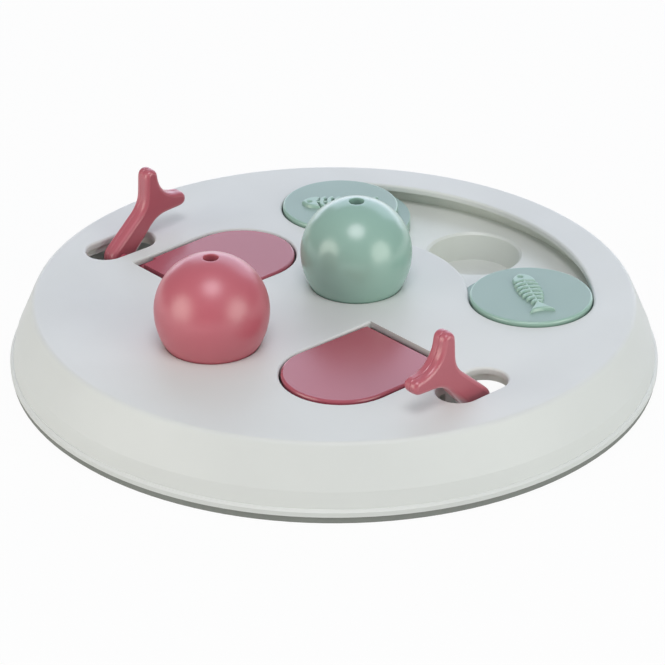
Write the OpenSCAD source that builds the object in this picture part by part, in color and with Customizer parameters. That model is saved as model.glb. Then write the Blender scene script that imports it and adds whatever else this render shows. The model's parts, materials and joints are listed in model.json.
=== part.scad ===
// Cat puzzle board: a round open-bottomed tray with a curved channel of treat bowls under two
// sliding covers, two lift-off domes over treat cups, and two flap lids worked by fish-tail levers.
// Millimetres. Origin at the centre of the ground ring, +Z up, +Y towards the middle of the channel.

/* [Board] */
// Diameter over the foot lip
board_d = 250; // [235:1:270]
// Height from the ground to the top face
board_h = 27.6; // [26:0.2:34]
// Thickness of the top plate
top_t = 2.5; // [2:0.1:3]
// Thickness of the leaning skirt
skirt_t = 2.4; // [1.8:0.1:3]
// Height of the foot lip above the ground ring
lip_h = 2.6; // [2:0.1:4]
// Step in from the lip to the upright band
band_step = 1.2; // [0.6:0.1:2]
// Height of the crease where the skirt starts to lean in
crease_z = 11.6; // [9:0.1:14]
// Lean of the upright band between lip and crease
band_lean = 1.3; // [0.5:0.1:2]
// Lean of the skirt between the crease and the top face
skirt_lean = 7; // [4:0.1:9]
// Radius of the rounded rim of the top face
rim_r = 2.2; // [1:0.1:3]
// Radius of the rounded edge of every opening in the top face
edge_break = 1; // [0.4:0.1:1.4]

/* [Ground ring] */
// Height of the soft ring under the foot
ring_h = 2.9; // [2:0.1:4]
// Width of the ring's tread
ring_w = 7; // [6:0.5:9]
// Inset of the ring from the edge of the lip
ring_inset = 0.5; // [0.2:0.1:1]
// Width of the tongue that holds the ring in the foot
tongue_w = 2; // [1.5:0.1:2.5]
// Height of that tongue
tongue_h = 2; // [1:0.1:2.2]

/* [Channel] */
// Distance from the edge of the top face to the channel's opening
rim_margin = 16.1; // [15:0.1:20]
// Angle from the middle bowl to each end bowl
bowl_pitch = 46; // [45:0.5:48]
// Depth of the channel floor below the top face
track_depth = 8.6; // [8.2:0.1:10]
// Thickness of the channel's walls and floor
tray_wall = 2; // [1.5:0.1:2.4]
// Diameter of each bowl at the channel floor
bowl_d = 37; // [32:0.5:40]
// Diameter of each bowl at its bottom
bowl_base_d = 33; // [28:0.5:36]
// Depth of each bowl below the channel floor
bowl_depth = 11; // [8:0.5:12]

/* [Sliders] */
// Diameter of a slider's top disc
disc_d = 47; // [44:0.5:49]
// Running gap round the disc in the channel opening
disc_gap = 0.4; // [0.3:0.05:0.8]
// Height of the disc above the top face
disc_rise = 1.5; // [0.8:0.1:2]
// Reach of the hidden flange beyond the disc
flange_reach = 5; // [3:0.1:5.4]
// Running gap round the flange in the channel
flange_gap = 0.6; // [0.4:0.1:1]
// Gap between the flange and the underside of the top plate
flange_play = 1; // [0.5:0.1:1.4]
// Running gap under the flange
glide_gap = 0.2; // [0.1:0.05:0.4]
// Wall thickness of a slider
slider_wall = 2; // [1.5:0.1:2.2]
// Length of the fishbone relief
fish_l = 31.5; // [24:0.5:36]
// Width of the fishbone relief
fish_w = 10.5; // [8:0.5:12]
// Number of ribs on each side of the fishbone
rib_n = 6; // [5:1:8]
// Height of the fishbone relief
fish_h = 1.4; // [0.6:0.1:1.8]
// Heading of the fish on the front slider
front_fish_turn = 151; // [0:1:359]
// Heading of the fish on the back slider
back_fish_turn = 228; // [0:1:359]

/* [Domes] */
// Distance between the two domes
dome_pitch = 72.2; // [68:0.2:75]
// Clearance between the channel's screws and the cup under the mint dome
cup_clear = 5.35; // [4:0.05:7]
// Largest radius of a dome
dome_r = 21.5; // [20:0.5:22.5]
// Radius of a dome where it meets the top face
dome_base_r = 17.8; // [17:0.1:18.6]
// Height of the dome's widest ring above the top face
dome_lift = 13.4; // [12.5:0.1:14.5]
// Wall thickness of a dome
dome_wall = 2.2; // [1.6:0.1:3]
// Diameter of the scent hole at the top of a dome
vent_d = 5.8; // [4:0.2:8]
// Depth of the round seat that locates a dome
seat_depth = 0.8; // [0.5:0.1:1.2]
// Gap round a dome in its seat
seat_gap = 0.35; // [0.3:0.05:0.6]
// Inner diameter of the treat cup under a dome
cup_d = 27; // [22:0.5:28]
// Depth of the treat cup below the seat
cup_depth = 13; // [10:0.5:15]
// Wall thickness of the treat cup
cup_wall = 1.8; // [1.4:0.1:2.4]

/* [Flap lids] */
// Clearance between the left pan and the channel tray
lever_clear = 1.8; // [1:0.1:3]
// Sideways shift of both levers
lever_shift = 0.6; // [0:0.1:1]
// Distance from the middle line to each lid's centre line
lid_x = 49.7; // [48.5:0.1:51]
// Distance from the middle between the levers to the straight end of a window
window_end = 18; // [17:0.1:19]
// Width of a lid's window
window_w = 45.3; // [42:0.1:46]
// Length of a lid's window
window_l = 58.5; // [56:0.5:60]
// Gap round a lid in its window
lid_gap = 0.9; // [0.7:0.1:1.5]
// Shift of a lid in its window, away from the lever slot
lid_shift = 0.4; // [0:0.1:0.6]
// Distance from a lid's straight end to the end of its window
lid_short = 3.3; // [1:0.1:3.8]
// Thickness of a lid
lid_t = 2.4; // [2:0.1:3]
// Height of a lid's top over the hinge axis
lid_top = 4.7; // [4.4:0.1:5]
// Slope of a closed lid, low at the hinge
lid_slope = 1.2; // [0:0.1:2]
// Width of the cut-out in a lid's corner that leaves the hinge barrel open
notch_w = 2.2; // [1.5:0.1:4]
// Length of that cut-out along the lid
notch_l = 6.4; // [5:0.1:9]
// Distance from the hinge axis to the straight end of the window
hinge_back = 5.6; // [5:0.1:6.4]
// Depth of the hinge axis below the top face
hinge_drop = 5.2; // [5.2:0.1:6]
// Radius of the hinge barrel under the lid
barrel_r = 3.2; // [3:0.1:3.6]
// Radius of the axle that the lid turns on
axle_r = 2.5; // [2:0.1:2.5]
// Radial clearance of the axle in its saddles
axle_play = 0.08; // [0.04:0.01:0.1]

/* [Fish tails] */
// Length of a lever slot
slot_l = 30.4; // [29:0.2:33]
// Width of a lever slot
slot_w = 16.4; // [14:0.2:17]
// Distance between a lid's window and the lever slot beside it
slot_gap = 7.05; // [6:0.05:9]
// Shift of a slot along its lid, from the hinge towards the lid's round end
slot_shift = 0.8; // [0:0.1:2]
// Thickness of a tail
tail_t = 7; // [6:0.2:8]
// Shift of a tail outward from the middle of its slot
tail_shift = 1.1; // [0:0.1:2]
// Rounding of a tail's edges
tail_round = 2.2; // [1:0.1:3]
// Lean of a tail over its closed lid
tail_lean = 45; // [35:1:50]
// Radius of the hub round the axle
hub_r = 5.4; // [5:0.1:6]
// Half width of the stem at its waist
waist_r = 4; // [3.4:0.1:4.8]
// Distance from the axle to the fork
fork_reach = 23.5; // [20:0.5:26]
// Distance from the axle to the middle of each lobe's tip
lobe_reach = 34.5; // [32:0.5:38]
// Spread of each lobe to its side of the tail's axis
lobe_spread = 16.6; // [15:0.1:20]
// Radius of each lobe's tip
lobe_r = 3.1; // [2.8:0.1:4]
// Fillet between the lobes and down the sides
fork_fillet = 11; // [5:0.5:14]
// Side of the square stub that drives the tail
key_w = 3.4; // [2.6:0.1:3.5]
// Clearance of the stub in the tail
key_gap = 0.05; // [0.03:0.01:0.1]

/* [Lever pans] */
// Depth of a pan's floor below the top face
pan_depth = 16; // [14:0.5:18]
// Wall thickness of a pan
pan_wall = 2; // [1.5:0.1:2.2]
// Reach of a pan beyond the window above it
pan_margin = 1.4; // [1:0.1:1.6]
// Height of the slot frame below the top plate
frame_h = 3; // [2.5:0.1:4]
// Step of the slot frame out from the slot's edge
frame_step = 0.7; // [0.4:0.1:1]
// Width of the pad that carries the lid's round end
pad_w = 16; // [10:1:20]
// Depth of that pad along the lid
pad_l = 2.6; // [2:0.1:4]

/* [Screws] */
// Thread diameter of the self-tapping screws
screw_d = 2.6; // [2:0.1:3]
// Length of a screw below its head
screw_l = 8; // [6:0.5:9]
// Head diameter
head_d = 5; // [4:0.1:5.6]
// Head height
head_h = 1.8; // [1.4:0.1:2.2]
// Diameter of the screw bosses
boss_d = 7; // [6:0.1:7.6]
// Length of the screw bosses under the top plate
boss_l = 7; // [6.5:0.5:9]
// Thickness of the ears that the screws hold
ear_t = 2.2; // [1.8:0.1:3]
// Clearance of a screw in its ear
ear_gap = 0.3; // [0.2:0.05:0.4]
// Angle from the middle tray screw to the ones beside it
tray_ear_turn = 28; // [24:1:30]

/* [Hidden] */
$fn = 96;
eps = 0.05;

// Board heights and radii
under_z = board_h - top_t;
lip_r = board_d / 2;
lip_top = ring_h + lip_h;
band_r = lip_r - band_step;
crease_r = band_r - band_lean;
rim_edge_r = crease_r - skirt_lean;
foot_in_r = lip_r - ring_w;
groove_roof = 1.4;
foot_t = tongue_h + groove_roof;
lip_round = 0.8;
tread_edge = 0.5;
tongue_r = lip_r - ring_w / 2;
tongue_gap = 0.1;

// Channel heights and half widths
floor_z = board_h - track_depth;
disc_r = disc_d / 2;
open_r = disc_r + disc_gap;
track_r = rim_edge_r - rim_margin - open_r;
flange_r = disc_r + flange_reach;
cavity_r = flange_r + flange_gap;
flange_top = under_z - flange_play;
disc_top = board_h + disc_rise;
disc_edge = 1.1;
bowl_lip = 0.8;

// Lids, measured from the middle between the levers for the right one; the left one is turned half round
window_r = window_w / 2;
hinge_y = window_end - hinge_back;
arch_y = window_end - window_l + window_r;
hinge_z = board_h - hinge_drop;
lid_r = window_r - lid_gap;
lid_end = hinge_back - lid_short;
lid_edge = 0.8;
pan_in_r = window_r + pan_margin;
pan_out_r = pan_in_r + pan_wall;
pan_floor_z = board_h - pan_depth;
pan_end = window_end + pan_margin;
slot_y = hinge_y - slot_shift;
slot_r = slot_w / 2;
slot_x = lid_x + window_r + slot_gap + slot_r;
frame_in_r = slot_r + frame_step;
frame_out_r = frame_in_r + pan_wall;
frame_z = under_z - frame_h;
saddle_half = barrel_r + pan_wall;
saddle_low = hinge_z - axle_r - pan_wall;
end_gap = 0.3;
tail_in_x = slot_x + tail_shift - tail_t / 2;
pad_gap = 0.3;
key_root = 1;
key_floor = 1.4;
key_end_gap = 0.2;

// Screw places, as [x, y, turn of the ear's web], for the tray and for the right lever
ear_z = under_z - boss_l;
ear_r = boss_d / 2;
ear_clear = 0.6;
ear_out = ear_r + ear_clear;
web_w = boss_d - 0.8;
pilot_gap = 0.05;
pilot_end = 0.6;
tray_ear_r = track_r - cavity_r - tray_wall - ear_out;
tray_end_turn = 2 * asin((cavity_r + tray_wall + ear_out) / (2 * track_r));
tray_end = bowl_pitch + tray_end_turn;
web_turn = bowl_pitch + tray_end_turn / 2;
tray_ears = concat(
    [for (a = [-tray_ear_turn, 0, tray_ear_turn]) [tray_ear_r * sin(a), tray_ear_r * cos(a), 90 - a]],
    [[track_r * sin(tray_end), track_r * cos(tray_end), 180 - web_turn],
        [-track_r * sin(tray_end), track_r * cos(tray_end), web_turn]]);
pan_ear_out = pan_out_r + ear_out;
ear_from_hinge = 8;
ear_from_arch = 4;
pan_ears = [[lid_x - pan_ear_out, hinge_y - ear_from_hinge, 0], [lid_x - pan_ear_out, arch_y, 0],
    [lid_x + pan_ear_out, arch_y + ear_from_arch, 180]];

// Middle between the levers, set back so that the left pan clears the end of the channel tray
end_across = track_r * sin(bowl_pitch) + lever_shift - lid_x;
end_apart = cavity_r + tray_wall + pan_out_r + lever_clear;
lever_back = sqrt(pow(end_apart, 2) - pow(end_across, 2)) - track_r * cos(bowl_pitch) - arch_y;

// Domes and cups, set back so that the cup under the mint dome clears the channel's screws
dome_z = board_h + dome_lift;
seat_z = board_h - seat_depth;
seat_r = dome_base_r + seat_gap;
side_shift = (pow(dome_lift, 2) + pow(dome_base_r, 2) - pow(dome_r, 2)) / (2 * (dome_r - dome_base_r));
cup_draft = 1.5;
cup_out_r = max(cup_d / 2, seat_r) + cup_wall;
mint_y = tray_ear_r - ear_r - cup_clear - cup_out_r;
red_y = mint_y - dome_pitch;

// Colours
shell_grey = [0.83, 0.84, 0.85];
ring_grey = [0.55, 0.56, 0.55];
tray_grey = [0.80, 0.80, 0.78];
red = [0.75, 0.38, 0.44];
mint = [0.60, 0.74, 0.69];
steel = [0.7, 0.7, 0.72];

// Points of an arc in the plane
function arc(x, y, r, from, to, steps = 6) =
    [for (i = [0:steps]) let (a = from + (to - from) * i / steps) [x + r * cos(a), y + r * sin(a)]];

function mirrored(half) =
    concat(half, [for (i = [len(half) - 1:-1:0]) [-half[i][0], half[i][1]]]);

// A half profile swept along the channel's centre line, with round ends
module along_track(half) {
    rotate([0, 0, 90 - bowl_pitch])
        rotate_extrude(angle = 2 * bowl_pitch)
            translate([track_r, 0])
                polygon(mirrored(half));
    for (a = [-bowl_pitch, bowl_pitch])
        at_bowl(a)
            rotate_extrude()
                polygon(concat([[0, half[0][1]]], half, [[0, half[len(half) - 1][1]]]));
}

module at_bowl(a) {
    rotate([0, 0, 90 + a])
        translate([track_r, 0, 0])
            rotate([0, 0, -90])
                children();
}

// A half profile swept round a lid's arch from the straight end at y_end
module along_arch(half, y_end) {
    translate([lid_x, arch_y, 0]) {
        rotate([0, 0, 180])
            rotate_extrude(angle = 180)
                polygon(concat([[0, half[0][1]]], half, [[0, half[len(half) - 1][1]]]));
        translate([0, y_end - arch_y, 0])
            rotate([90, 0, 0])
                linear_extrude(y_end - arch_y)
                    polygon(mirrored(half));
    }
}

// A half profile swept along a lever slot
module along_slot(half) {
    run = slot_l / 2 - slot_r;
    translate([slot_x, slot_y, 0]) {
        for (s = [-1, 1])
            translate([0, s * run, 0])
                rotate_extrude()
                    polygon(concat([[0, half[0][1]]], half, [[0, half[len(half) - 1][1]]]));
        translate([0, run, 0])
            rotate([90, 0, 0])
                linear_extrude(2 * run)
                    polygon(mirrored(half));
    }
}

// A straight wall that flares round its edge at the top face
function flared(r, low) =
    concat([[r, low]], arc(r + edge_break, board_h - edge_break, edge_break, 180, 90, 4),
        [[r + edge_break, board_h + eps]]);

function straight(r, low, high) = [[r, low], [r, high]];

module right_side() {
    translate([lever_shift, -lever_back, 0])
        children();
}

module left_side() {
    translate([lever_shift, -lever_back, 0])
        rotate([0, 0, 180])
            children();
}

module both_sides() {
    right_side() children();
    left_side() children();
}

// Top shell
module shell_profile() {
    inner_top_r = rim_edge_r - skirt_t;
    rim_tilt = atan2(board_h - crease_z, skirt_lean);
    rim_in = rim_r * tan(rim_tilt / 2);
    difference() {
        polygon(concat(
            [[lip_r, ring_h], [lip_r, lip_top - lip_round], [lip_r - lip_round, lip_top],
                [band_r, lip_top], [crease_r, crease_z]],
            arc(rim_edge_r - rim_in, board_h - rim_r, rim_r, 90 - rim_tilt, 90),
            [[0, board_h], [0, under_z], [inner_top_r, under_z], [crease_r - skirt_t, crease_z],
                [foot_in_r, ring_h + foot_t], [foot_in_r, ring_h]]));
        translate([tongue_r - tongue_w / 2 - tongue_gap, ring_h - eps])
            square([tongue_w + 2 * tongue_gap, tongue_h + tongue_gap + eps]);
    }
}

module cup_outside(y) {
    translate([0, y, seat_z - cup_depth - cup_wall])
        cylinder(h = cup_depth + cup_wall, r1 = cup_d / 2 - cup_draft + cup_wall, r2 = cup_out_r);
}

module cup_inside(y) {
    translate([0, y, 0]) {
        translate([0, 0, seat_z - cup_depth])
            cylinder(h = cup_depth + eps, r1 = cup_d / 2 - cup_draft, r2 = cup_d / 2);
        translate([0, 0, seat_z])
            cylinder(h = seat_depth + eps, r = seat_r);
    }
}

module boss(place) {
    translate([place[0], place[1], ear_z])
        cylinder(h = boss_l + eps, d = boss_d);
}

module pilot(place) {
    translate([place[0], place[1], ear_z - eps])
        cylinder(h = screw_l - ear_t + pilot_end, d = screw_d + 2 * pilot_gap);
}

module top_shell() {
    color(shell_grey)
        difference() {
            union() {
                rotate_extrude($fn = 180)
                    shell_profile();
                for (y = [red_y, mint_y])
                    cup_outside(y);
                for (place = tray_ears)
                    boss(place);
                both_sides()
                    for (place = pan_ears)
                        boss(place);
            }
            along_track(flared(open_r, under_z - eps));
            for (y = [red_y, mint_y])
                cup_inside(y);
            for (place = tray_ears)
                pilot(place);
            both_sides() {
                along_arch(flared(window_r, under_z - eps), window_end);
                along_slot(flared(slot_r, under_z - eps));
                for (place = pan_ears)
                    pilot(place);
            }
        }
}

module ground_ring() {
    out_r = lip_r - ring_inset;
    color(ring_grey)
        rotate_extrude($fn = 180)
            polygon([[foot_in_r + tread_edge, 0], [out_r - tread_edge, 0], [out_r, tread_edge],
                [out_r, ring_h], [tongue_r + tongue_w / 2, ring_h],
                [tongue_r + tongue_w / 2, ring_h + tongue_h], [tongue_r - tongue_w / 2, ring_h + tongue_h],
                [tongue_r - tongue_w / 2, ring_h],
                [foot_in_r, ring_h], [foot_in_r, tread_edge]]);
}

// Ear for a screw, with a web that reaches into the wall beside it
module ear(place, wall) {
    translate([place[0], place[1], ear_z - ear_t])
        rotate([0, 0, place[2]])
            linear_extrude(ear_t)
                difference() {
                    union() {
                        circle(d = boss_d);
                        translate([0, -web_w / 2])
                            square([ear_out + wall / 2, web_w]);
                    }
                    circle(d = screw_d + 2 * ear_gap);
                }
}

// Channel tray
module bowl_outside() {
    translate([0, 0, floor_z - bowl_depth - tray_wall])
        cylinder(h = bowl_depth + tray_wall, r1 = bowl_base_d / 2 + tray_wall, r2 = bowl_d / 2 + tray_wall);
}

module bowl_inside() {
    slope = (bowl_d - bowl_base_d) / 2 / bowl_depth;
    rotate_extrude()
        polygon([[0, floor_z - bowl_depth], [bowl_base_d / 2, floor_z - bowl_depth],
            [bowl_d / 2 - slope * bowl_lip, floor_z - bowl_lip], [bowl_d / 2 + bowl_lip, floor_z],
            [bowl_d / 2 + bowl_lip, floor_z + eps], [0, floor_z + eps]]);
}

module channel_tray() {
    color(tray_grey)
        difference() {
            union() {
                along_track(straight(cavity_r + tray_wall, floor_z - tray_wall, under_z));
                for (a = [-bowl_pitch, 0, bowl_pitch])
                    at_bowl(a) bowl_outside();
                for (place = tray_ears)
                    ear(place, tray_wall);
            }
            along_track(straight(cavity_r, floor_z, under_z + eps));
            for (a = [-bowl_pitch, 0, bowl_pitch])
                at_bowl(a) bowl_inside();
        }
}

// Lever pans
module pan() {
    difference() {
        union() {
            along_arch(straight(pan_out_r, pan_floor_z - pan_wall, under_z), pan_end + pan_wall);
            along_slot(straight(frame_out_r, frame_z, under_z));
            translate([lid_x + pan_in_r, hinge_y - saddle_half, saddle_low])
                cube([slot_x - frame_in_r - lid_x - pan_in_r, 2 * saddle_half, under_z - saddle_low]);
            for (place = pan_ears)
                ear(place, pan_wall);
        }
        along_arch(straight(pan_in_r, pan_floor_z, under_z + eps), pan_end);
        along_slot(straight(frame_in_r, saddle_low - eps, under_z + eps));
        saddle(lid_x - pan_out_r - eps, lid_x - pan_in_r + eps);
        saddle(lid_x + pan_in_r - eps, slot_x);
    }
    pad();
}

// Pad that the lid's round end rests over
module pad() {
    pad_y = arch_y - lid_r + pad_l;
    under_lid = hinge_z + (lid_top - lid_t) / cos(lid_slope) + (hinge_y - pad_y) * tan(lid_slope);
    intersection() {
        translate([lid_x - pad_w / 2, arch_y - lid_r, pan_floor_z - eps])
            cube([pad_w, pad_l, under_lid - pad_gap - pan_floor_z + eps]);
        along_arch(straight(lid_r, pan_floor_z - pan_wall, board_h), window_end);
    }
}

// Open-topped saddle for the axle
module saddle(x_from, x_to) {
    bore_r = axle_r + axle_play;
    translate([x_from, hinge_y, hinge_z])
        rotate([0, 90, 0])
            cylinder(h = x_to - x_from, r = bore_r);
    translate([x_from, hinge_y - bore_r, hinge_z])
        cube([x_to - x_from, 2 * bore_r, under_z - hinge_z + 2 * eps]);
}

module left_pan() {
    color(tray_grey)
        left_side() pan();
}

module right_pan() {
    color(tray_grey)
        right_side() pan();
}

// Flap lids
module at_hinge() {
    translate([0, hinge_y, hinge_z])
        rotate([-lid_slope, 0, 0])
            translate([0, -hinge_y, 0])
                children();
}

module lid() {
    top_edge = [[lid_r, lid_top - lid_t], [lid_r, lid_top - lid_edge],
        [lid_r - lid_edge / 3, lid_top - lid_edge / 3], [lid_r - lid_edge, lid_top]];
    barrel_l = 2 * lid_r - 2 * lid_gap;
    axle_from = lid_x - pan_out_r + end_gap;
    at_hinge() {
        translate([-lid_shift, 0, 0])
            difference() {
                along_arch(top_edge, hinge_y + lid_end);
                translate([lid_x + lid_r - notch_w, hinge_y + lid_end - notch_l, lid_top - lid_t - eps])
                    cube([notch_w + eps, notch_l + eps, lid_t + 2 * eps]);
            }
        translate([lid_x - barrel_l / 2, hinge_y, 0])
            rotate([0, 90, 0])
                cylinder(h = barrel_l, r = barrel_r);
        translate([axle_from, hinge_y, 0])
            rotate([0, 90, 0])
                cylinder(h = tail_in_x - end_gap - axle_from, r = axle_r);
        translate([tail_in_x - key_root, hinge_y - key_w / 2, -key_w / 2])
            cube([key_root + tail_t - key_floor - key_end_gap, key_w, key_w]);
    }
}

module left_lid() {
    color(red)
        left_side() lid();
}

module right_lid() {
    color(red)
        right_side() lid();
}

// Fish tails, drawn with the axle at the origin and the tail's axis along x
module tail_outline() {
    tip = [for (s = [-1, 1]) [lobe_reach * cos(lobe_spread), s * lobe_reach * sin(lobe_spread)]];
    offset(r = -fork_fillet, $fn = 40)
        offset(r = fork_fillet, $fn = 40) {
            hull() {
                circle(r = hub_r, $fn = 32);
                translate([fork_reach, 0])
                    circle(r = waist_r, $fn = 32);
            }
            for (p = tip)
                hull() {
                    translate([fork_reach, 0])
                        circle(r = waist_r, $fn = 32);
                    translate(p)
                        circle(r = lobe_r, $fn = 24);
                }
        }
}

module tail() {
    translate([0, hinge_y, hinge_z])
        difference() {
            translate([tail_in_x, 0, 0])
                rotate([90, 0, 90])
                    rotate([0, 0, 180 - tail_lean])
                        minkowski() {
                            translate([0, 0, tail_round])
                                linear_extrude(tail_t - 2 * tail_round)
                                    offset(delta = -tail_round)
                                        tail_outline();
                            sphere(r = tail_round, $fn = 14);
                        }
            rotate([-lid_slope, 0, 0])
                translate([tail_in_x - key_root, -key_w / 2 - key_gap, -key_w / 2 - key_gap])
                    cube([key_root + tail_t - key_floor, key_w + 2 * key_gap, key_w + 2 * key_gap]);
        }
}

module left_tail() {
    color(red)
        left_side() tail();
}

module right_tail() {
    color(red)
        right_side() tail();
}

// Sliders
module fish_head(head_l) {
    head_w = fish_w * 0.92;
    cheek = fish_l * 0.04;
    snout_r = (pow(head_l, 2) + pow(head_w / 2, 2)) / head_w;
    eye_d = head_l * 0.26;
    difference() {
        intersection() {
            translate([0, head_w / 2 - snout_r])
                circle(r = snout_r);
            translate([0, snout_r - head_w / 2])
                circle(r = snout_r);
            translate([-cheek, -head_w / 2])
                square([head_l + cheek, head_w]);
        }
        polygon([[-cheek - eps, -head_w / 2], [0, 0], [-cheek - eps, head_w / 2]]);
        translate([head_l * 0.5, head_w * 0.2])
            circle(d = eye_d, $fn = 24);
    }
}

module fish_tail(tail_l, spine_w) {
    fork = fish_l * 0.08;
    fork_r = (pow(fish_w / 2, 2) + pow(fork, 2)) / (2 * fork);
    half = [[tail_l, spine_w / 2], [tail_l * 0.6, fish_w * 0.2], [tail_l * 0.3, fish_w * 0.42],
        [0, fish_w / 2]];
    difference() {
        polygon(concat(half, [for (i = [len(half) - 1:-1:0]) [half[i][0], -half[i][1]]]));
        translate([fork - fork_r, 0])
            circle(r = fork_r);
    }
}

module fishbone() {
    head_l = fish_l * 0.24;
    tail_l = fish_l * 0.24;
    spine_w = fish_w * 0.13;
    pitch = (fish_l - head_l - tail_l) / rib_n;
    rib_t = pitch * 0.68;
    rib_lean = 98;
    head_x = fish_l / 2 - head_l;
    translate([head_x, 0])
        fish_head(head_l);
    translate([-fish_l / 2, 0])
        fish_tail(tail_l, spine_w);
    translate([-fish_l / 2 + tail_l / 2, -spine_w / 2])
        square([fish_l - tail_l / 2 - head_l / 2, spine_w]);
    for (i = [0:rib_n - 1], s = [-1, 1])
        let (rib_l = fish_w / 2 * cos(90 * (i - 1) / rib_n) - rib_t / 2)
            translate([head_x - pitch * (i + 0.7), 0])
                rotate([0, 0, s * rib_lean]) {
                    translate([0, -rib_t / 2])
                        square([rib_l, rib_t]);
                    translate([rib_l, 0])
                        circle(d = rib_t, $fn = 24);
                }
}

module slider(a, fish_turn) {
    flange_low = floor_z + glide_gap;
    neck_in = disc_r - slider_wall;
    at_bowl(a) {
        rotate_extrude()
            polygon([[0, disc_top - slider_wall], [neck_in, disc_top - slider_wall],
                [neck_in, flange_top - slider_wall], [flange_r - slider_wall, flange_top - slider_wall],
                [flange_r - slider_wall, flange_low], [flange_r, flange_low], [flange_r, flange_top],
                [disc_r, flange_top], [disc_r, disc_top - disc_edge],
                [disc_r - disc_edge * 0.3, disc_top - disc_edge * 0.3], [disc_r - disc_edge, disc_top],
                [0, disc_top]]);
        translate([0, 0, disc_top - slider_wall / 2])
            rotate([0, 0, fish_turn - a])
                linear_extrude(fish_h + slider_wall / 2)
                    fishbone();
    }
}

module front_slider() {
    color(mint)
        slider(-bowl_pitch, front_fish_turn);
}

module back_slider() {
    color(mint)
        slider(bowl_pitch, back_fish_turn);
}

// Domes, round above the widest ring and drawn in on a flatter curve below it
module dome_half(r) {
    intersection() {
        circle(r = r);
        square([r, r]);
    }
    intersection() {
        translate([-side_shift, 0])
            circle(r = r + side_shift);
        translate([0, -dome_lift - seat_depth])
            square([r, dome_lift + seat_depth]);
    }
}

module dome(y) {
    translate([0, y, dome_z])
        difference() {
            rotate_extrude()
                difference() {
                    dome_half(dome_r);
                    dome_half(dome_r - dome_wall);
                }
            cylinder(h = dome_r + 1, d = vent_d);
        }
}

module red_dome() {
    color(red)
        dome(red_y);
}

module mint_dome() {
    color(mint)
        dome(mint_y);
}

// Screws, put in from below
module screw(place) {
    translate([place[0], place[1], ear_z - ear_t - head_h])
        cylinder(h = head_h, d = head_d);
    translate([place[0], place[1], ear_z - ear_t - head_h / 2])
        cylinder(h = screw_l + head_h / 2, d = screw_d);
}

module tray_screws() {
    color(steel)
        for (place = tray_ears)
            screw(place);
}

module pan_screws() {
    color(steel)
        both_sides()
            for (place = pan_ears)
                screw(place);
}

top_shell();
ground_ring();
channel_tray();
left_pan();
right_pan();
left_lid();
right_lid();
left_tail();
right_tail();
front_slider();
back_slider();
red_dome();
mint_dome();
tray_screws();
pan_screws();
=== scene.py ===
"""Looks of the cat puzzle board: moulded plastics in soft studio light, from the photograph's side."""

import json
import math

import bmesh
import bpy
import numpy as np
from mathutils import Matrix, Vector


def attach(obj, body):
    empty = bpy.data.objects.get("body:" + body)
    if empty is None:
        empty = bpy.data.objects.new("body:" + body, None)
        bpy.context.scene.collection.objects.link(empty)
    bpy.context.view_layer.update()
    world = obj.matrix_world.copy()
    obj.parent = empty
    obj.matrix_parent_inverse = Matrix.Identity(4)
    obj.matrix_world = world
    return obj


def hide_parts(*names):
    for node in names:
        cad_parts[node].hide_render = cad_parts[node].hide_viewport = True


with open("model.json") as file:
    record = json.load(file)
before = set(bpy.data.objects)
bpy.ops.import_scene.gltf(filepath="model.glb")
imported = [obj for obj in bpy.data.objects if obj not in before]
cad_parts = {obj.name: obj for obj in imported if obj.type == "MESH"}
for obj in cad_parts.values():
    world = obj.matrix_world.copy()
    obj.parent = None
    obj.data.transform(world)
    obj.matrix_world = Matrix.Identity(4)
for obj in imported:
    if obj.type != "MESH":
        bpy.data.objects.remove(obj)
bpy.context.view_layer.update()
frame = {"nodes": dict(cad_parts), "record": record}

MM = 0.001

# Sizes repeated from part.scad, in millimetres
BOARD_H = 27.6
TOP_T = 2.5
TRACK_R = 75.5
TRACK_DEPTH = 8.6
BOWL_PITCH = 46.0
DISC_R = 23.5
DISC_RISE = 1.5
FLANGE_REACH = 5.0
FLANGE_PLAY = 1.0
GLIDE_GAP = 0.2
SLIDER_WALL = 2.0
FISH_L = 31.5
FISH_W = 10.5
FISH_H = 1.4
RIBS = 6
FISH_TURN = {"front_slider": 151.0, "back_slider": 228.0}
DOME_R = 21.5
DOME_BASE_R = 17.8
DOME_LIFT = 13.4
DOME_WALL = 2.2
SEAT_DEPTH = 0.8
VENT_R = 2.9
DOMES_MID_Y = -24.6
DOME_PITCH = 72.2
TAIL_T = 7.0
LEVER_SHIFT = 0.6
SLOT_X = 87.6
TAIL_SHIFT = 1.1

# Places and heights that follow from them
FLOOR_Z = BOARD_H - TRACK_DEPTH
UNDER_Z = BOARD_H - TOP_T
DISC_TOP = BOARD_H + DISC_RISE
FLANGE_R = DISC_R + FLANGE_REACH
FLANGE_TOP = UNDER_Z - FLANGE_PLAY
FLANGE_LOW = FLOOR_Z + GLIDE_GAP
DOME_Y = {
    "red_dome": DOMES_MID_Y - DOME_PITCH / 2.0,
    "mint_dome": DOMES_MID_Y + DOME_PITCH / 2.0,
}
TAIL_X = {
    "right_tail": LEVER_SHIFT + SLOT_X + TAIL_SHIFT,
    "left_tail": LEVER_SHIFT - SLOT_X - TAIL_SHIFT,
}

# The fishbone's head as the photograph shows it, shorter than in part.scad
FISH_HEAD = 6.3

# Noise of the finishes, in waves per metre
FLOW_WAVES = 28.0
SMEAR_WAVES = 35.0
DUST_WAVES = 45.0
PEEL_WAVES = 420.0
STAIN_WAVES = 700.0
GRIT_WAVES = 1500.0
GRAIN_WAVES = 2600.0

# Ambient light
HORIZON = (0.157, 0.155, 0.156, 1.0)
ZENITH = (0.32, 0.345, 0.37, 1.0)

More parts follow.
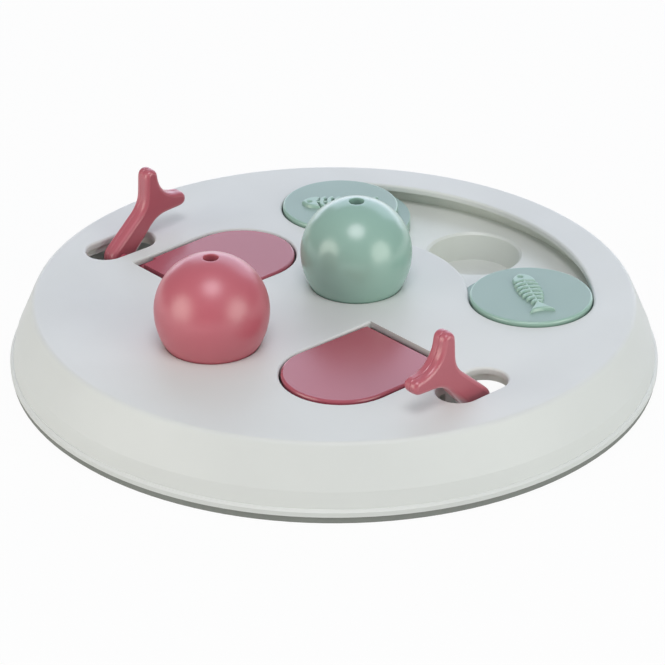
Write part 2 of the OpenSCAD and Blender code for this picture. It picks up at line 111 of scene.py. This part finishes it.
# The photograph's camera
VIEW_TURN = math.radians(48.0)
VIEW_RISE = 0.495736
VIEW_REACH = 1.08844
VIEW_AIM = Vector((0.0, 0.0, 0.009748))
PHOTO_SIDE = 665
FOCAL_PX = 2800.0
OFF_CENTRE_PX = 1.56
SENSOR = 36.0
NEAR_CLIP = 0.01

# Stage
FLOOR_SIZE = 12.0
FLOOR_GREY = (0.7, 0.7, 0.7, 1.0)
WHITE_SHARE = 0.95
LAMP_AIM = Vector((0.0, 0.0, 0.02))

# A face this nearly square to an axis counts as flat
FLAT_COSINE = 0.98


# Materials


def srgb(r, g, b):
    """A colour given as screen values from 0 to 255, in linear light."""

    def linear(v):
        v /= 255.0
        return v / 12.92 if v <= 0.04045 else ((v + 0.055) / 1.055) ** 2.4

    return (linear(r), linear(g), linear(b), 1.0)


def shade(colour, k):
    return tuple(min(1.0, c * k) for c in colour[:3]) + (1.0,)


def new_material(name):
    material = bpy.data.materials.new(name)
    material.use_nodes = True
    tree = material.node_tree
    return material, tree, tree.nodes["Principled BSDF"]


def put(tree, kind, values=None, **settings):
    """A new node with its settings and the values of its unlinked sockets."""
    made = tree.nodes.new(kind)
    for key, value in settings.items():
        setattr(made, key, value)
    for key, value in (values or {}).items():
        made.inputs[key].default_value = value
    return made


def noise(tree, coords, scale, detail=2.0, roughness=0.5):
    made = put(tree, "ShaderNodeTexNoise", {"Scale": scale, "Detail": detail, "Roughness": roughness})
    tree.links.new(coords, made.inputs["Vector"])
    return made.outputs["Fac"]


def spread(tree, value, low, high, to_low, to_high):
    made = put(
        tree,
        "ShaderNodeMapRange",
        {"From Min": low, "From Max": high, "To Min": to_low, "To Max": to_high},
        clamp=True,
    )
    tree.links.new(value, made.inputs["Value"])
    return made.outputs["Result"]


def mix_colour(tree, factor, a, b):
    """A mix of two colours, each a constant or a socket."""
    made = put(tree, "ShaderNodeMix", data_type="RGBA")
    tree.links.new(factor, made.inputs["Factor"])
    # Inputs 6 and 7 and output 2 are the node's colour sockets
    for socket, value in ((made.inputs[6], a), (made.inputs[7], b)):
        if isinstance(value, tuple):
            socket.default_value = value
        else:
            tree.links.new(value, socket)
    return made.outputs[2]


def edge_mask(tree, radius):
    """1 along the edges of a form and 0 on its faces."""
    rounded = put(tree, "ShaderNodeBevel", {"Radius": radius}, samples=4)
    face = put(tree, "ShaderNodeNewGeometry")
    dot = put(tree, "ShaderNodeVectorMath", operation="DOT_PRODUCT")
    tree.links.new(rounded.outputs["Normal"], dot.inputs[0])
    tree.links.new(face.outputs["Normal"], dot.inputs[1])
    return spread(tree, dot.outputs["Value"], 0.995, 0.86, 0.0, 1.0)


def corner_mask(tree, reach):
    """1 deep in corners and gaps narrower than the reach, and 0 on open faces."""
    open_to = put(tree, "ShaderNodeAmbientOcclusion", {"Distance": reach}, samples=6)
    return spread(tree, open_to.outputs["AO"], 0.85, 0.3, 0.0, 1.0)


def moulded(name, colour, roughness, vary, ior=1.58, grain=0.3, wear_and_sheen=0.3, corner_shade=0.0):
    """Moulded plastic: flow mottling, fine grain, orange peel, edges lightened as rubbed wear and as
    painted highlight, and painted shade darkening corners.
    """
    material, tree, shader = new_material(name)
    coords = put(tree, "ShaderNodeTexCoord").outputs["Object"]
    edge_reach, corner_reach = 0.5 * MM, 1.6 * MM
    flow = noise(tree, coords, FLOW_WAVES, 3.0)
    fine = noise(tree, coords, GRAIN_WAVES, 2.0)
    soft = noise(tree, coords, PEEL_WAVES, 2.0)
    smear = noise(tree, coords, SMEAR_WAVES, 3.0)
    edges = edge_mask(tree, edge_reach)
    body = mix_colour(tree, flow, shade(colour, 0.96), shade(colour, 1.04))
    # Edges lightened: partly rubbed wear, partly painted highlight.
    rubbed_and_sheen = spread(tree, edges, 0.0, 1.0, 0.0, wear_and_sheen)
    body = mix_colour(tree, rubbed_and_sheen, body, shade(colour, 1.18))
    # Painted shade: the colour darkens deep in corners and narrow gaps, where shade falls.
    if corner_shade > 0.0:
        shaded_corners = spread(tree, corner_mask(tree, corner_reach), 0.0, 1.0, 0.0, corner_shade)
        body = mix_colour(tree, shaded_corners, body, shade(colour, 0.45))
    tree.links.new(body, shader.inputs["Base Color"])
    gloss = spread(tree, smear, 0.2, 0.8, roughness - vary, roughness + vary)
    tree.links.new(gloss, shader.inputs["Roughness"])
    peel_bump = put(tree, "ShaderNodeBump", {"Strength": 0.3, "Distance": 0.01 * MM})
    tree.links.new(soft, peel_bump.inputs["Height"])
    grain_bump = put(tree, "ShaderNodeBump", {"Strength": grain, "Distance": 0.005 * MM})
    tree.links.new(fine, grain_bump.inputs["Height"])
    tree.links.new(peel_bump.outputs["Normal"], grain_bump.inputs["Normal"])
    tree.links.new(grain_bump.outputs["Normal"], shader.inputs["Normal"])
    shader.inputs["IOR"].default_value = ior
    return material


def rubber(name, colour):
    """Matt gritty rubber with pale dust on it."""
    material, tree, shader = new_material(name)
    coords = put(tree, "ShaderNodeTexCoord").outputs["Object"]
    grit = noise(tree, coords, GRIT_WAVES, 3.0)
    dust = spread(tree, noise(tree, coords, DUST_WAVES, 5.0, 0.6), 0.42, 0.72, 0.0, 0.35)
    body = mix_colour(tree, dust, colour, shade(colour, 1.35))
    tree.links.new(body, shader.inputs["Base Color"])
    tree.links.new(spread(tree, grit, 0.3, 0.7, 0.62, 0.82), shader.inputs["Roughness"])
    bump = put(tree, "ShaderNodeBump", {"Strength": 0.5, "Distance": 0.03 * MM})
    tree.links.new(grit, bump.inputs["Height"])
    tree.links.new(bump.outputs["Normal"], shader.inputs["Normal"])
    return material


def plated_steel(name, colour):
    """Bright plated steel, faintly stained."""
    material, tree, shader = new_material(name)
    coords = put(tree, "ShaderNodeTexCoord").outputs["Object"]
    stain = noise(tree, coords, STAIN_WAVES, 4.0)
    body = mix_colour(tree, stain, shade(colour, 0.85), shade(colour, 1.1))
    tree.links.new(body, shader.inputs["Base Color"])
    tree.links.new(spread(tree, stain, 0.3, 0.7, 0.25, 0.45), shader.inputs["Roughness"])
    shader.inputs["Metallic"].default_value = 1.0
    bump = put(tree, "ShaderNodeBump", {"Strength": 0.4, "Distance": 0.01 * MM})
    tree.links.new(stain, bump.inputs["Height"])
    tree.links.new(bump.outputs["Normal"], shader.inputs["Normal"])
    return material


# The denoiser draws contour lines where a roughness passes 0.274, so each plastic stays on one side of it.
MINT = srgb(146, 180, 167)
DISC_MINT = srgb(143, 168, 159)
FINISH = {
    "shell_grey": moulded("shell plastic", srgb(213, 215, 212), 0.5, 0.06, ior=1.5, grain=0.5, wear_and_sheen=0.25),
    "tray_grey": moulded("tray plastic", srgb(216, 219, 212), 0.36, 0.05, wear_and_sheen=0.2),
    "red_plastic": moulded("red plastic", srgb(187, 94, 106), 0.34, 0.04, ior=1.75, grain=0.6, wear_and_sheen=0.2),
    "mint_plastic": moulded("mint plastic", MINT, 0.245, 0.025, ior=1.7),
    "ring_rubber": rubber("ring rubber", srgb(129, 132, 127)),
    "screw_steel": plated_steel("screw steel", srgb(190, 190, 192)),
}
LID = moulded("lid plastic", srgb(168, 82, 95), 0.245, 0.025)
TAIL = moulded("tail plastic", srgb(175, 88, 100), 0.38, 0.04, ior=1.6, grain=0.5)
# Lighter copy of the tail plastic for the tail's edge faces: painted highlight.
LIT_TAIL_EDGE = moulded("lit tail edge plastic", srgb(181, 91, 103), 0.32, 0.03, ior=1.75)
# Disc tops: sharp edges lightened strongly as painted highlight, corners darkened as painted shade.
DISC = moulded("disc plastic", DISC_MINT, 0.38, 0.05, ior=1.5, grain=0.5, wear_and_sheen=0.8, corner_shade=0.6)
# Lighter copy of the mint for the fishbone and the disc edges: painted highlight, with lightened edges and
# painted shade in corners.
LIT_MINT = moulded("lit mint plastic", srgb(150, 183, 168), 0.32, 0.04, ior=1.8, wear_and_sheen=0.6, corner_shade=0.6)
OWN_FINISH = {
    "left_lid": LID,
    "right_lid": LID,
    "left_tail": TAIL,
    "right_tail": TAIL,
    "front_slider": DISC,
    "back_slider": DISC,
}
SLOT = {part["node"]: part["material_slot"] for part in frame["record"]["subparts"]}
BODY = {node: body for body, members in frame["record"]["behaviour"]["bodies"].items() for node in members}


# Meshes


def object_of(name, mesh):
    made = bpy.data.objects.new(name, mesh)
    bpy.context.scene.collection.objects.link(made)
    return made


def coat(piece, finish):
    piece.data.materials.clear()
    piece.data.materials.append(finish)


def paint_lit_edges(piece, facing, finish):
    """Gives every face that doesn't face along the given axis a second finish; the lighter finishes given
    here paint a highlight on the edges.
    """
    piece.data.materials.append(finish)
    for face in piece.data.polygons:
        face.material_index = 0 if abs(face.normal.dot(facing)) > FLAT_COSINE else 1


def finish_of(node):
    return OWN_FINISH.get(node, FINISH[SLOT[node]])


def stand_for(piece, node):
    """The piece takes the node's place, finish and motion."""
    coat(piece, finish_of(node))
    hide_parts(node)
    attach(piece, BODY[node])


def mesh_from(bm, name):
    mesh = bpy.data.meshes.new(name)
    bmesh.ops.recalc_face_normals(bm, faces=bm.faces)
    bm.to_mesh(mesh)
    bm.free()
    return mesh


def shade_by_angle(mesh, degrees):
    mesh.shade_smooth()
    mesh.set_sharp_from_angle(angle=math.radians(degrees))


def weigh_normals(piece):
    """Keeps flat faces flat where they run into rounded edges."""
    modifier = piece.modifiers.new("flat faces", "WEIGHTED_NORMAL")
    modifier.keep_sharp = True
    modifier.weight = 50


def dress(node):
    """The CAD form itself, with its finish."""
    piece = frame["nodes"][node]
    coat(piece, finish_of(node))


def lathe(name, profile, centre, steps=144):
    """A closed form turned about an upright axis, from a loop of (radius, height) in millimetres."""
    bm = bmesh.new()
    rings = []
    for radius, height in profile:
        if radius < 1e-6:
            rings.append([bm.verts.new((centre[0] * MM, centre[1] * MM, height * MM))])
            continue
        ring = []
        for i in range(steps):
            turn = 2.0 * math.pi * i / steps
            x = centre[0] + radius * math.cos(turn)
            y = centre[1] + radius * math.sin(turn)
            ring.append(bm.verts.new((x * MM, y * MM, height * MM)))
        rings.append(ring)
    for a, b in zip(rings, rings[1:] + rings[:1]):
        if len(a) == 1 and len(b) == 1:
            continue
        for i in range(steps):
            j = (i + 1) % steps
            if len(a) == 1:
                bm.faces.new((a[0], b[j], b[i]))
            elif len(b) == 1:
                bm.faces.new((a[i], a[j], b[0]))
            else:
                bm.faces.new((a[i], a[j], b[j], b[i]))
    return object_of(name, mesh_from(bm, name))


def arc(x, y, radius, start, end, steps):
    """Points of an arc, angles in degrees."""
    angles = np.radians(np.linspace(start, end, steps + 1))
    return [(x + radius * math.cos(a), y + radius * math.sin(a)) for a in angles]


def dome(node):
    """Hollow dome: round above its widest ring, drawn in below, with a collared scent hole."""
    z = BOARD_H + DOME_LIFT
    shift = (DOME_LIFT**2 + DOME_BASE_R**2 - DOME_R**2) / (2.0 * (DOME_R - DOME_BASE_R))
    drop = DOME_LIFT + SEAT_DEPTH
    soft = 0.25
    collar = 3.4
    collar_r = VENT_R + 1.6
    foot_edge = 0.3

    def wall(radius, reverse):
        top = math.degrees(math.acos((VENT_R + (soft if not reverse else 0.0)) / radius))
        low = math.degrees(math.asin((drop - foot_edge) / (radius + shift)))
        lower = arc(-shift, z, radius + shift, -low, 0.0, 18)
        upper = arc(0.0, z, radius, 0.0, top, 40)[1:]
        path = lower + upper
        return path[::-1] if reverse else path

    outside = wall(DOME_R, False)
    inside = [p for p in wall(DOME_R - DOME_WALL, True) if p[0] > collar_r or p[1] < z]
    lip_z = outside[-1][1]
    lip = [
        (VENT_R + soft * (1.0 - math.sin(t)), lip_z - soft * (1.0 - math.cos(t)))
        for t in np.radians((30, 60, 90))
    ]
    lip += [(VENT_R, lip_z - collar), (collar_r, lip_z - collar)]
    foot_in, foot_out = inside[-1], outside[0]
    low = z - drop
    foot = [(foot_in[0] + foot_edge, low), (foot_out[0] - foot_edge, low)]
    piece = lathe(node + "_form", outside + lip + inside + foot, (0.0, DOME_Y[node]))
    shade_by_angle(piece.data, 50.0)
    stand_for(piece, node)


def cover(node, side):
    """A sliding cover: a satin disc whose edge and fishbone take a lighter, glossier mint as painted
    highlight, and its hidden flange.
    """
    turn = math.radians(90.0 - side * BOWL_PITCH)
    centre = (TRACK_R * math.cos(turn), TRACK_R * math.sin(turn))
    edge = 1.0
    flange_edge = 0.4
    face_ring = DISC_R * 0.6
    neck = DISC_R - SLIDER_WALL
    profile = [
        (0.0, DISC_TOP - SLIDER_WALL),
        (neck, DISC_TOP - SLIDER_WALL),
        (neck, FLANGE_TOP - SLIDER_WALL),
        (FLANGE_R - SLIDER_WALL, FLANGE_TOP - SLIDER_WALL),
        (FLANGE_R - SLIDER_WALL, FLANGE_LOW),
        (FLANGE_R, FLANGE_LOW),
    ]
    profile += arc(FLANGE_R - flange_edge, FLANGE_TOP - flange_edge, flange_edge, 0.0, 90.0, 4)
    profile += [(DISC_R, FLANGE_TOP)]
    profile += arc(DISC_R - edge, DISC_TOP - edge, edge, 0.0, 90.0, 8)
    profile += [(face_ring, DISC_TOP), (0.0, DISC_TOP)]
    piece = lathe(node + "_disc", profile, centre)
    shade_by_angle(piece.data, 40.0)
    weigh_normals(piece)
    stand_for(piece, node)
    # The disc's edge faces take the lighter mint: painted highlight.
    paint_lit_edges(piece, Vector((0.0, 0.0, 1.0)), LIT_MINT)
    fish = fishbone(node + "_fish")
    place = Matrix.Translation((centre[0] * MM, centre[1] * MM, 0.0))
    fish.data.transform(place @ Matrix.Rotation(math.radians(FISH_TURN[node]), 4, "Z"))
    stand_for(fish, node)
    # The fishbone takes the lighter mint: painted highlight, with painted shade in its gaps.
    coat(fish, LIT_MINT)


def bar(x, y, start, end, radius):
    """Depth inside a round-ended bar, negative outside it."""
    dx, dy = end[0] - start[0], end[1] - start[1]
    along = np.clip(((x - start[0]) * dx + (y - start[1]) * dy) / (dx * dx + dy * dy), 0.0, 1.0)
    return radius - np.hypot(x - start[0] - along * dx, y - start[1] - along * dy)


def fish_depth(x, y):
    """Depth inside the outline of a fishbone that heads along +x, negative outside it."""
    head_w = FISH_W * 0.86
    tail_l = FISH_L * 0.23
    fan_w = FISH_W * 1.04
    cheek = FISH_L * 0.04
    fork = FISH_L * 0.055
    spine_r = FISH_W * 0.07
    pitch = (FISH_L - FISH_HEAD - tail_l) / RIBS
    rib_r = pitch * 0.37
    first_rib = 0.55
    knee_back, knee_out = 0.06, 0.6
    tip_back, tip_out = 0.3, 0.95
    fan_slope = 0.8
    fan_trim = FISH_W * 0.47
    head_x = FISH_L / 2.0 - FISH_HEAD
    tail_x = -FISH_L / 2.0
    snout_r = (FISH_HEAD**2 + (head_w / 2.0) ** 2) / head_w
    cheeks = (abs(y) * cheek + (x - head_x) * head_w / 2.0) / math.hypot(cheek, head_w / 2.0)
    jaws = snout_r - np.hypot(x - head_x, abs(y) + snout_r - head_w / 2.0)
    head = np.minimum(np.minimum(jaws, cheeks), x - head_x + cheek)
    fan_half = np.interp((x - tail_x) / tail_l, (0.0, 1.0), (fan_w / 2.0, spine_r))
    fork_r = ((FISH_W / 2.0) ** 2 + fork**2) / (2.0 * fork)
    forked = np.hypot(x - tail_x - fork + fork_r, y) - fork_r
    fan = np.minimum(np.minimum(fan_slope * (fan_half - abs(y)), forked), fan_trim - abs(y))
    fan = np.minimum(fan, tail_x + tail_l - x)
    depth = np.maximum(head, fan)
    spine = ((tail_x + tail_l / 2.0, 0.0), (head_x + FISH_HEAD / 3.0, 0.0))
    depth = np.maximum(depth, bar(x, y, *spine, spine_r))
    for i in range(RIBS):
        length = FISH_W / 2.0 * math.cos(math.radians(90.0 * (i - 1) / RIBS)) - rib_r
        root = head_x - pitch * (i + first_rib)
        for side in (-1.0, 1.0):
            knee = (root - knee_back * length, side * knee_out * length)
            tip = (root - tip_back * length, side * tip_out * length)
            depth = np.maximum(depth, bar(x, y, (root, 0.0), knee, rib_r))
            depth = np.maximum(depth, bar(x, y, knee, tip, rib_r))
    return depth


def relief(name, x, y, z, keep, base):
    """A closed form over the kept cells of a grid, from a flat base up to the heights z, in millimetres."""
    used = np.zeros(z.shape, bool)
    for i in (0, 1):
        for j in (0, 1):
            used[i : i + keep.shape[0], j : j + keep.shape[1]] |= keep
    count = int(used.sum())
    index = np.zeros(z.shape, int)
    index[used] = np.arange(count)
    top = np.stack([x[used], y[used], z[used]], axis=1)
    low = np.stack([x[used], y[used], np.full(count, base)], axis=1)
    corners = (index[:-1, :-1], index[1:, :-1], index[1:, 1:], index[:-1, 1:])
    quads = np.stack(corners, axis=-1)[keep].tolist()
    faces = [tuple(q) for q in quads] + [tuple(v + count for v in q[::-1]) for q in quads]
    edges = {(a, b) for q in quads for a, b in zip(q, q[1:] + q[:1])}
    faces += [(a + count, b + count, b, a) for a, b in sorted(edges) if (b, a) not in edges]
    mesh = bpy.data.meshes.new(name)
    mesh.from_pydata((np.concatenate([top, low]) * MM).tolist(), [], faces)
    mesh.shade_smooth()
    return object_of(name, mesh)


def fishbone(name):
    """Fishbone relief with rounded bones and a pricked eye, its head along +x."""
    cell = 0.16
    margin = 0.6
    round_r = 0.9
    sunk = 0.3
    eye = ((FISH_L - FISH_HEAD) / 2.0, 0.7)
    eye_r = 1.25
    eye_depth = 0.7
    eye_slope = 0.5
    x, y = np.meshgrid(
        np.arange(-FISH_L / 2.0 - margin, FISH_L / 2.0 + margin, cell),
        np.arange(-FISH_W / 2.0 - margin, FISH_W / 2.0 + margin, cell),
        indexing="ij",
    )
    depth = fish_depth(x, y)
    rise = FISH_H * np.sqrt(1.0 - (1.0 - np.clip(depth / round_r, 0.0, 1.0)) ** 2)
    pricked = np.clip((eye_r - np.hypot(x - eye[0], y - eye[1])) / eye_slope, 0.0, 1.0)
    rise = np.maximum(rise - eye_depth * pricked, 0.0)
    z = DISC_TOP + np.where(depth > 0.0, rise, np.maximum(depth, -sunk))
    near = depth > -sunk
    keep = near[:-1, :-1] | near[1:, :-1] | near[1:, 1:] | near[:-1, 1:]
    return relief(name, x, y, z, keep, DISC_TOP - 2.0 * sunk)


def tail_outline(node, count=200, smoothing=3):
    """Even points (y, z) round the middle section of a tail's CAD form, with outward normals."""
    bm = bmesh.new()
    bm.from_mesh(frame["nodes"][node].data)
    bmesh.ops.remove_doubles(bm, verts=bm.verts, dist=1e-6)
    section = bmesh.ops.bisect_plane(
        bm,
        geom=bm.verts[:] + bm.edges[:] + bm.faces[:],
        dist=1e-7,
        plane_co=(TAIL_X[node] * MM, 0.0, 0.0),
        plane_no=(1.0, 0.0, 0.0),
    )["geom_cut"]
    steps = {}
    for edge in section:
        if isinstance(edge, bmesh.types.BMEdge):
            a, b = edge.verts
            steps.setdefault(a, []).append(b)
            steps.setdefault(b, []).append(a)
    loops = []
    while steps:
        loop = [next(iter(steps))]
        while True:
            ahead = [v for v in steps.pop(loop[-1]) if v in steps]
            if not ahead:
                break
            loop.append(ahead[0])
        loops.append(np.array([(v.co.y, v.co.z) for v in loop]))
    bm.free()
    path = max(loops, key=len)
    path = np.concatenate([path, path[:1]])
    run = np.concatenate([[0.0], np.cumsum(np.hypot(*np.diff(path, axis=0).T))])
    at = np.linspace(0.0, run[-1], count, endpoint=False)
    points = np.stack([np.interp(at, run, path[:, 0]), np.interp(at, run, path[:, 1])], axis=1)
    for _ in range(smoothing):
        points = (np.roll(points, 1, axis=0) + 2.0 * points + np.roll(points, -1, axis=0)) / 4.0
    ahead = np.roll(points, -1, axis=0) - np.roll(points, 1, axis=0)
    normals = np.stack([ahead[:, 1], -ahead[:, 0]], axis=1) / np.hypot(ahead[:, 0], ahead[:, 1])[:, None]
    area = np.sum(points[:, 0] * np.roll(points[:, 1], -1) - points[:, 1] * np.roll(points[:, 0], -1))
    return points, normals * np.sign(area)


def fish_tail(node):
    """A fish-tail lever: flat cheeks, a slightly crowned edge with round corners, and a seam groove."""
    outward = math.copysign(1.0, TAIL_X[node])
    half = TAIL_T / 2.0
    edge = 1.9
    crown = 0.1
    seam_x = 0.3
    seam_w = 0.4
    seam_depth = 0.22
    corner = [(half - edge + x, edge + crown - y) for y, x in arc(0.0, 0.0, edge, 90.0, 0.0, 10)]
    across = np.linspace(1.0, -1.0, 7)
    seam = [(seam_x + seam_w * a, seam_depth * (0.5 + 0.5 * math.cos(math.pi * a))) for a in across]
    section = corner + seam + [(-x, inset) for x, inset in corner[::-1]]
    points, normals = tail_outline(node)
    bm = bmesh.new()
    rings = []
    for x, inset in section:
        flat = points - normals * inset * MM
        at_x = (TAIL_X[node] + outward * x) * MM
        rings.append([bm.verts.new((at_x, y, z)) for y, z in flat])
    count = len(points)
    for a, b in zip(rings, rings[1:]):
        for i in range(count):
            j = (i + 1) % count
            bm.faces.new((a[i], a[j], b[j], b[i]))
    bm.faces.new(rings[0])
    bm.faces.new(rings[-1])
    piece = object_of(node + "_form", mesh_from(bm, node + "_form"))
    shade_by_angle(piece.data, 38.0)
    weigh_normals(piece)
    stand_for(piece, node)
    # The edge faces take the lighter tail plastic: painted highlight.
    paint_lit_edges(piece, Vector((1.0, 0.0, 0.0)), LIT_TAIL_EDGE)


for name in ("top_shell", "channel_tray", "left_pan", "right_pan", "left_lid", "right_lid"):
    dress(name)
for name in ("ground_ring", "tray_screws", "pan_screws"):
    dress(name)
for name in ("red_dome", "mint_dome"):
    dome(name)
cover("front_slider", 1.0)
cover("back_slider", -1.0)
for name in ("left_tail", "right_tail"):
    fish_tail(name)


# Floor, light and camera


def seen_as_white(tree):
    """1 for camera, glossy and transmitted rays, and 0 for the rays that light the object."""
    path = put(tree, "ShaderNodeLightPath")
    total = None
    for ray in ("Is Camera Ray", "Is Glossy Ray", "Is Transmission Ray"):
        if total is None:
            total = path.outputs[ray]
            continue
        add = put(tree, "ShaderNodeMath", operation="ADD", use_clamp=True)
        tree.links.new(total, add.inputs[0])
        tree.links.new(path.outputs[ray], add.inputs[1])
        total = add.outputs["Value"]
    return total


def floor():
    """A pale floor that looks white but keeps the object's shadow."""
    bpy.ops.mesh.primitive_plane_add(size=FLOOR_SIZE, location=(0.0, 0.0, 0.0))
    plane = bpy.context.object
    plane.name = "floor"
    material, tree, shader = new_material("pale floor")
    shader.inputs["Base Color"].default_value = FLOOR_GREY
    shader.inputs["Roughness"].default_value = 0.9
    shader.inputs["Specular IOR Level"].default_value = 0.1
    glow = put(tree, "ShaderNodeEmission", {"Color": (1.0, 1.0, 1.0, 1.0), "Strength": 1.0})
    mix = put(tree, "ShaderNodeMixShader")
    white = spread(tree, seen_as_white(tree), 0.0, 1.0, 0.0, WHITE_SHARE)
    tree.links.new(white, mix.inputs["Fac"])
    tree.links.new(shader.outputs["BSDF"], mix.inputs[1])
    tree.links.new(glow.outputs["Emission"], mix.inputs[2])
    tree.links.new(mix.outputs["Shader"], tree.nodes["Material Output"].inputs["Surface"])
    plane.data.materials.append(material)


def surroundings():
    """A dim studio, neutral at the horizon and cooler overhead."""
    world = bpy.data.worlds.new("studio")
    bpy.context.scene.world = world
    world.use_nodes = True
    tree = world.node_tree
    back = tree.nodes["Background"]
    back.inputs["Strength"].default_value = 1.0
    split = put(tree, "ShaderNodeSeparateXYZ")
    tree.links.new(put(tree, "ShaderNodeTexCoord").outputs["Generated"], split.inputs["Vector"])
    height = spread(tree, split.outputs["Z"], 0.0, 0.9, 0.0, 1.0)
    tree.links.new(mix_colour(tree, height, HORIZON, ZENITH), back.inputs["Color"])


def softbox(name, shape, turn, rise, reach, size, watts, colour):
    """A lamp that faces the board; turn is in degrees from the camera, to the right."""
    lamp = bpy.data.lights.new(name, "AREA")
    lamp.shape = shape
    lamp.size, lamp.size_y = size
    lamp.energy = watts
    lamp.color = colour
    lamp_object = bpy.data.objects.new(name, lamp)
    bpy.context.scene.collection.objects.link(lamp_object)
    azimuth = VIEW_TURN + math.radians(turn)
    level = math.cos(math.radians(rise))
    away = Vector((level * math.sin(azimuth), -level * math.cos(azimuth), math.sin(math.radians(rise))))
    lamp_object.location = away * reach + LAMP_AIM
    lamp_object.rotation_euler = away.to_track_quat("Z", "Y").to_euler()


def camera():
    lens = bpy.data.cameras.new("camera")
    lens.sensor_fit = "HORIZONTAL"
    lens.sensor_width = SENSOR
    lens.lens = SENSOR * FOCAL_PX / PHOTO_SIDE
    lens.shift_x = -OFF_CENTRE_PX / PHOTO_SIDE
    lens.clip_start = NEAR_CLIP
    eye = bpy.data.objects.new("camera", lens)
    bpy.context.scene.collection.objects.link(eye)
    level = VIEW_REACH * math.cos(VIEW_RISE)
    height = VIEW_REACH * math.sin(VIEW_RISE)
    eye.location = (level * math.sin(VIEW_TURN), -level * math.cos(VIEW_TURN), height)
    eye.rotation_euler = (VIEW_AIM - eye.location).to_track_quat("-Z", "Y").to_euler()
    bpy.context.scene.camera = eye


floor()
surroundings()
softbox("left lamp", "ELLIPSE", -62.0, 14.0, 1.2, (0.9, 0.9), 6.55, (1.0, 0.98, 0.88))
softbox("right lamp", "ELLIPSE", 54.0, 15.0, 1.2, (0.9, 0.9), 6.55, (0.97, 1.0, 0.92))
softbox("top lamp", "ELLIPSE", 0.0, 68.0, 1.2, (0.64, 0.64), 5.1, (0.97, 0.94, 1.0))
softbox("back lamp", "RECTANGLE", 168.0, 30.0, 1.4, (1.8, 0.8), 7.2, (0.73, 0.82, 1.0))
softbox("low back lamp", "RECTANGLE", 174.0, 7.0, 1.4, (2.4, 0.36), 6.8, (0.84, 0.85, 1.0))
camera()
bpy.context.scene.view_settings.view_transform = "Standard"
